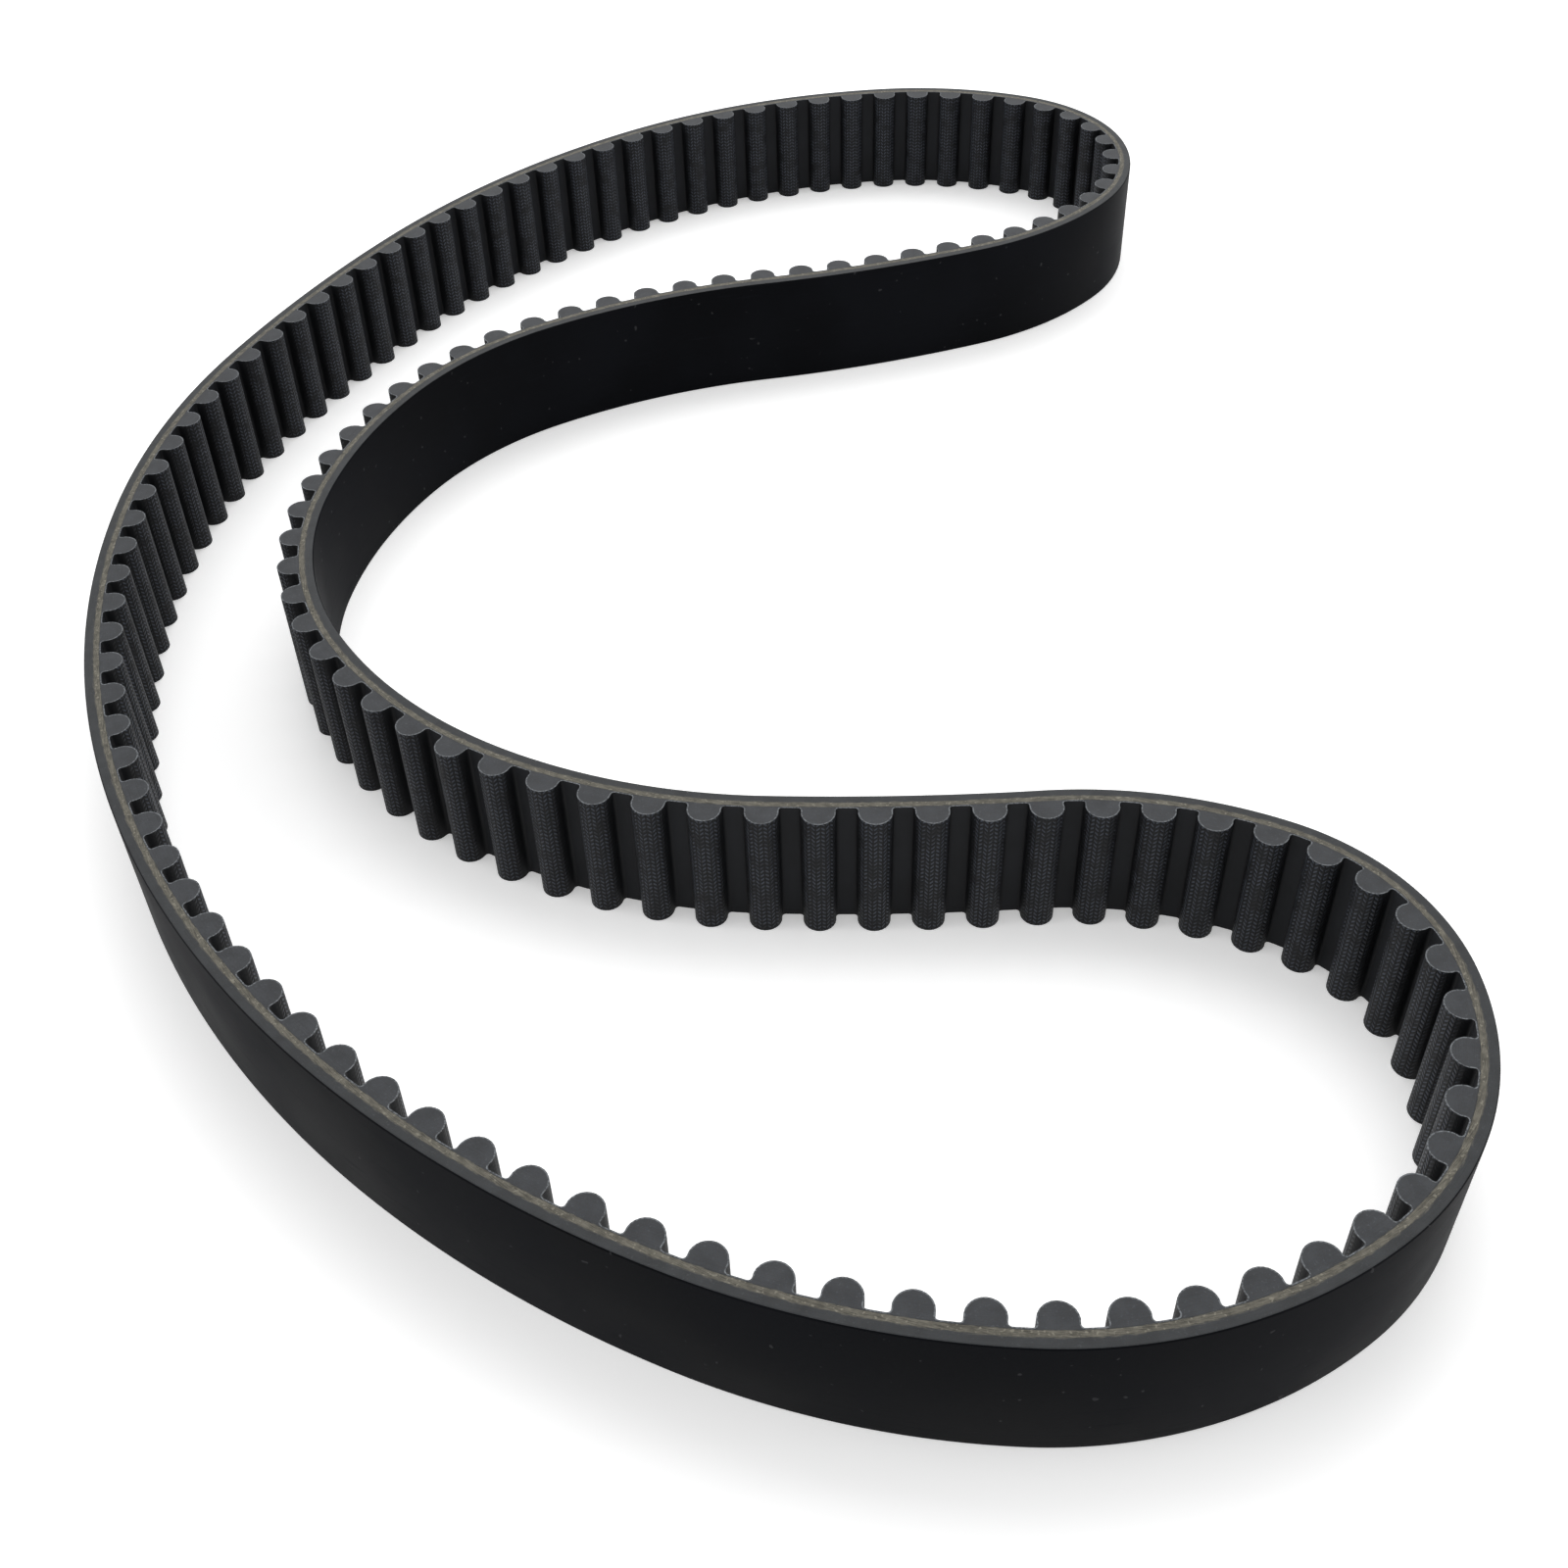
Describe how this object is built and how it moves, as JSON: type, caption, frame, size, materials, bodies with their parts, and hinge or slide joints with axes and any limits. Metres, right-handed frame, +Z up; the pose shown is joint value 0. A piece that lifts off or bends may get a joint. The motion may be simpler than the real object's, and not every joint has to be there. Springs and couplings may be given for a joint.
{
  "type": "timing belt",
  "caption": "Endless black rubber timing belt with rounded teeth on the inside, lying in a bean-shaped loop on its edge.",
  "frame": {"origin": "middle of the loop's outline, on the plane of the lower cut edge", "axes": "+Z up along the belt's width, +Y along the loop's long side towards the rear lobe, +X towards the tips of the two lobes"},
  "size_m": [0.202, 0.3322, 0.022],
  "materials": {
    "backing_rubber": "matte moulded rubber with a faint sheen",
    "cut_rubber": "matte grey, knife-cut",
    "glass_cord": "treated glass-fibre strands, matte",
    "tooth_rubber": "matte grey, knife-cut",
    "facing_fabric": "black impregnated fabric with a low sheen"
  },
  "bodies": {
    "inner_bend": {"backing_inner_bend": "backing_rubber", "cord_bed_inner_bend": "cut_rubber", "cords_inner_bend": "glass_cord", "teeth_inner_bend": "tooth_rubber", "facing_inner_bend": "facing_fabric"},
    "outer_bend_rear": {"backing_outer_bend_rear": "backing_rubber", "cord_bed_outer_bend_rear": "cut_rubber", "cords_outer_bend_rear": "glass_cord", "teeth_outer_bend_rear": "tooth_rubber", "facing_outer_bend_rear": "facing_fabric"},
    "rear_strand": {"backing_rear_strand": "backing_rubber", "cord_bed_rear_strand": "cut_rubber", "cords_rear_strand": "glass_cord", "teeth_rear_strand": "tooth_rubber", "facing_rear_strand": "facing_fabric"},
    "rear_lobe": {"backing_rear_lobe": "backing_rubber", "cord_bed_rear_lobe": "cut_rubber", "cords_rear_lobe": "glass_cord", "teeth_rear_lobe": "tooth_rubber", "facing_rear_lobe": "facing_fabric"},
    "rear_inner_strand": {"backing_rear_inner_strand": "backing_rubber", "cord_bed_rear_inner_strand": "cut_rubber", "cords_rear_inner_strand": "glass_cord", "teeth_rear_inner_strand": "tooth_rubber", "facing_rear_inner_strand": "facing_fabric"},
    "front_inner_strand": {"backing_front_inner_strand": "backing_rubber", "cord_bed_front_inner_strand": "cut_rubber", "cords_front_inner_strand": "glass_cord", "teeth_front_inner_strand": "tooth_rubber", "facing_front_inner_strand": "facing_fabric"},
    "front_lobe": {"backing_front_lobe": "backing_rubber", "cord_bed_front_lobe": "cut_rubber", "cords_front_lobe": "glass_cord", "teeth_front_lobe": "tooth_rubber", "facing_front_lobe": "facing_fabric"},
    "front_strand": {"backing_front_strand": "backing_rubber", "cord_bed_front_strand": "cut_rubber", "cords_front_strand": "glass_cord", "teeth_front_strand": "tooth_rubber", "facing_front_strand": "facing_fabric"},
    "outer_bend_front": {"backing_outer_bend_front": "backing_rubber", "cord_bed_outer_bend_front": "cut_rubber", "cords_outer_bend_front": "glass_cord", "teeth_outer_bend_front": "tooth_rubber", "facing_outer_bend_front": "facing_fabric"}
  },
  "joints": [
    {"name": "flex_rear_inner_bend", "type": "hinge", "parent": "inner_bend", "child": "rear_inner_strand", "pos_m": [-0.04756, 0.04451, 0.011], "axis": [0, 0, 1], "range_deg": [-5, 5], "stiffness_Nm_per_rad": 0.1},
    {"name": "flex_rear_lobe_front", "type": "hinge", "parent": "rear_inner_strand", "child": "rear_lobe", "pos_m": [0.06267, 0.08701, 0.011], "axis": [0, 0, 1], "range_deg": [-1.5, 1.5], "stiffness_Nm_per_rad": 0.1},
    {"name": "flex_rear_lobe_back", "type": "hinge", "parent": "rear_lobe", "child": "rear_strand", "pos_m": [0.04661, 0.16419, 0.011], "axis": [0, 0, 1], "range_deg": [-0.9, 0.9], "stiffness_Nm_per_rad": 0.1},
    {"name": "flex_rear_strand", "type": "hinge", "parent": "rear_strand", "child": "outer_bend_rear", "pos_m": [-0.05586, 0.10985, 0.011], "axis": [0, 0, 1], "range_deg": [-1.4, 1.4], "stiffness_Nm_per_rad": 0.1},
    {"name": "flex_front_inner_bend", "type": "hinge", "parent": "inner_bend", "child": "front_inner_strand", "pos_m": [-0.0379, -0.06173, 0.011], "axis": [0, 0, 1], "range_deg": [-1.8, 1.8], "stiffness_Nm_per_rad": 0.1},
    {"name": "flex_front_lobe_back", "type": "hinge", "parent": "front_inner_strand", "child": "front_lobe", "pos_m": [0.07723, -0.08613, 0.011], "axis": [0, 0, 1], "range_deg": [-2.1, 2.1], "stiffness_Nm_per_rad": 0.1},
    {"name": "flex_front_lobe_front", "type": "hinge", "parent": "front_lobe", "child": "front_strand", "pos_m": [0.04493, -0.16419, 0.011], "axis": [0, 0, 1], "range_deg": [-1.4, 1.4], "stiffness_Nm_per_rad": 0.1},
    {"name": "flex_front_strand", "type": "hinge", "parent": "front_strand", "child": "outer_bend_front", "pos_m": [-0.05843, -0.11018, 0.011], "axis": [0, 0, 1], "range_deg": [-0.8, 0.8], "stiffness_Nm_per_rad": 0.1}
  ],
  "couplings": [
    {"joint": "flex_rear_lobe_front", "follows": "flex_rear_inner_bend", "ratio": -0.2989},
    {"joint": "flex_rear_lobe_back", "follows": "flex_rear_inner_bend", "ratio": 0.1715},
    {"joint": "flex_rear_strand", "follows": "flex_rear_inner_bend", "ratio": -0.2769},
    {"joint": "flex_front_inner_bend", "follows": "flex_rear_inner_bend", "ratio": -0.3544},
    {"joint": "flex_front_lobe_back", "follows": "flex_rear_inner_bend", "ratio": 0.4061},
    {"joint": "flex_front_lobe_front", "follows": "flex_rear_inner_bend", "ratio": -0.2748},
    {"joint": "flex_front_strand", "follows": "flex_rear_inner_bend", "ratio": 0.1435}
  ]
}
